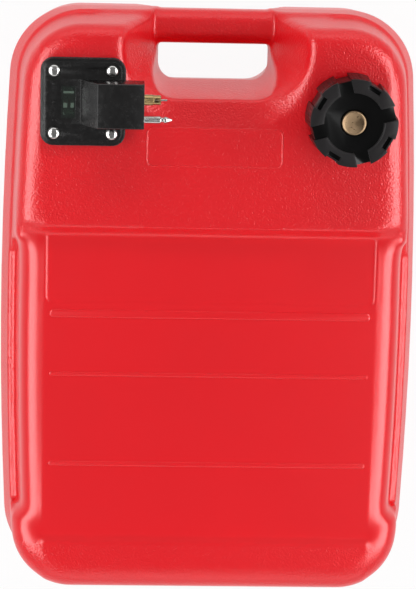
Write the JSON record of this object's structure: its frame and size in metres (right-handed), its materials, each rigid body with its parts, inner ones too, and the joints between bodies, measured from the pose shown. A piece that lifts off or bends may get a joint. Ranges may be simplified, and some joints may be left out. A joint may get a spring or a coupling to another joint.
{
  "type": "outboard fuel tank",
  "caption": "Portable red plastic outboard fuel tank with moulded handle, vented screw cap, fuel level gauge and connector prong, lying on its back.",
  "frame": {"origin": "middle of the tank's plan at the level of its base, with the tank lying on its back", "axes": "+X across the tank towards the filler cap, +Y along it towards the handle, +Z out of the face that carries cap and gauge"},
  "size_m": [0.364, 0.508, 0.212],
  "materials": {
    "red_polyethylene": "semi-gloss blow-moulded polyethylene",
    "black_cap_plastic": "satin moulded plastic",
    "black_nylon": "satin moulded glass-filled nylon",
    "rubber": "fuel-resistant rubber",
    "brass": "turned brass",
    "clear_lens": "clear moulded window",
    "steel": "stainless steel",
    "aluminium_tube": "drawn tube",
    "white_nylon": "natural nylon",
    "black_foam": "closed-cell fuel float foam"
  },
  "bodies": {
    "tank": {"tank_shell": "red_polyethylene", "gauge_plate": "black_nylon", "gauge_gasket": "rubber", "gauge_lens": "clear_lens", "plate_screws": "steel", "screw_inserts": "brass", "fuel_prong": "brass", "prong_nut": "brass", "prong_o_ring": "rubber", "locating_pin": "steel", "valve_spring": "steel", "pickup_tube": "aluminium_tube", "pickup_strainer": "white_nylon", "gauge_bracket": "steel", "bracket_screws": "steel", "pivot_pin": "steel"},
    "cap_ring": {"cap_seal": "rubber"},
    "cap": {"filler_cap": "black_cap_plastic"},
    "vent_ring": {"vent_seal": "rubber"},
    "vent": {"vent_screw": "brass"},
    "float_assembly": {"level_indicator": "white_nylon", "float_arm": "steel", "float": "black_foam", "float_clip": "steel"},
    "needle": {"prong_needle": "steel"}
  },
  "joints": [
    {"name": "cap_lift", "type": "slide", "parent": "tank", "child": "cap_ring", "axis": [0, 0, 1], "range_m": [0, 0.08]},
    {"name": "cap_turn", "type": "hinge", "parent": "cap_ring", "child": "cap", "pos_m": [0.112, 0.172, 0.19], "axis": [0, 0, 1], "range_deg": [0, 540]},
    {"name": "vent_rise", "type": "slide", "parent": "cap", "child": "vent_ring", "axis": [0, 0, 1], "range_m": [0, 0.0025]},
    {"name": "vent_turn", "type": "hinge", "parent": "vent_ring", "child": "vent", "pos_m": [0.112, 0.172, 0.205], "axis": [0, 0, 1], "range_deg": [0, 720]},
    {"name": "float_swing", "type": "hinge", "parent": "tank", "child": "float_assembly", "pos_m": [-0.1225, 0.181, 0.15], "axis": [-1, 0, 0], "range_deg": [0, 44]},
    {"name": "needle_push", "type": "slide", "parent": "tank", "child": "needle", "axis": [-1, 0, 0], "range_m": [0, 0.004], "stiffness_N_per_m": 300, "springref_m": -0.002, "deforming": ["valve_spring"]}
  ],
  "couplings": [
    {"joint": "vent_turn", "follows": "vent_rise", "rad_per_m": 5026.5}
  ]
}
